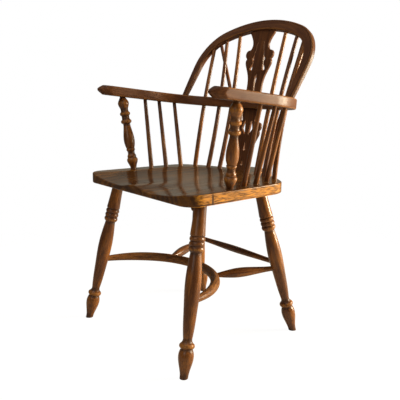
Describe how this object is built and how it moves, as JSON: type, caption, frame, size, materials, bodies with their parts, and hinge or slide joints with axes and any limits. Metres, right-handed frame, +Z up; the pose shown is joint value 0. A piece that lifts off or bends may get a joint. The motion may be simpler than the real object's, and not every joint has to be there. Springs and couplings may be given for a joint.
{
  "type": "windsor chair",
  "caption": "Low hoop-back windsor armchair of dark stained wood: saddle seat, pierced splat, stick back with braces, turned legs and a bent crinoline stretcher.",
  "frame": {"origin": "on the floor under the middle of the chair's overall width and depth", "axes": "+Z up, the sitter faces -Y, +X is the sitter's left"},
  "size_m": [0.525, 0.4846, 0.855],
  "materials": {
    "seat_wood": "polished",
    "turned_wood": "polished",
    "bent_and_sawn_wood": "satin"
  },
  "bodies": {
    "root": {"arm_bow": "bent_and_sawn_wood", "back_bow": "bent_and_sawn_wood", "back_left_leg": "turned_wood", "back_right_leg": "turned_wood", "crinoline_stretcher": "bent_and_sawn_wood", "front_left_leg": "turned_wood", "front_right_leg": "turned_wood", "left_arm_post": "turned_wood", "left_brace_stick": "turned_wood", "left_long_stick_1": "turned_wood", "left_long_stick_2": "turned_wood", "left_long_stick_3": "turned_wood", "left_short_stick_1": "turned_wood", "left_short_stick_2": "turned_wood", "left_short_stick_3": "turned_wood", "left_spur": "turned_wood", "lower_splat": "bent_and_sawn_wood", "rear_stretcher": "turned_wood", "right_arm_post": "turned_wood", "right_brace_stick": "turned_wood", "right_long_stick_1": "turned_wood", "right_long_stick_2": "turned_wood", "right_long_stick_3": "turned_wood", "right_short_stick_1": "turned_wood", "right_short_stick_2": "turned_wood", "right_short_stick_3": "turned_wood", "right_spur": "turned_wood", "seat": "seat_wood", "upper_splat": "bent_and_sawn_wood"}
  },
  "joints": []
}
